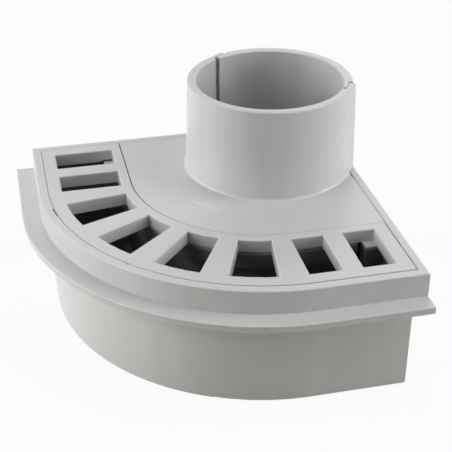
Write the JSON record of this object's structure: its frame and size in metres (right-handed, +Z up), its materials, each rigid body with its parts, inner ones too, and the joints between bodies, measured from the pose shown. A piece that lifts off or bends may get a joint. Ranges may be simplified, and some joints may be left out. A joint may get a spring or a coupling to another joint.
{
  "type": "corner gully trap",
  "caption": "Corner gully trap in grey plastic: a quarter-round tub with a flanged rim, a slotted grate and a cover with a split sleeve for a downpipe.",
  "frame": {"origin": "centre of the box round the part, on the underside of the floor", "axes": "+Z up along the downpipe; the house walls are towards +X and +Y, the rounded side towards -X and -Y"},
  "size_m": [0.1862, 0.1862, 0.1207],
  "materials": {
    "grey_plastic": "satin moulded plastic"
  },
  "bodies": {
    "root": {"cover_plate": "grey_plastic", "grate_ring": "grey_plastic", "trap_body": "grey_plastic"}
  },
  "joints": []
}
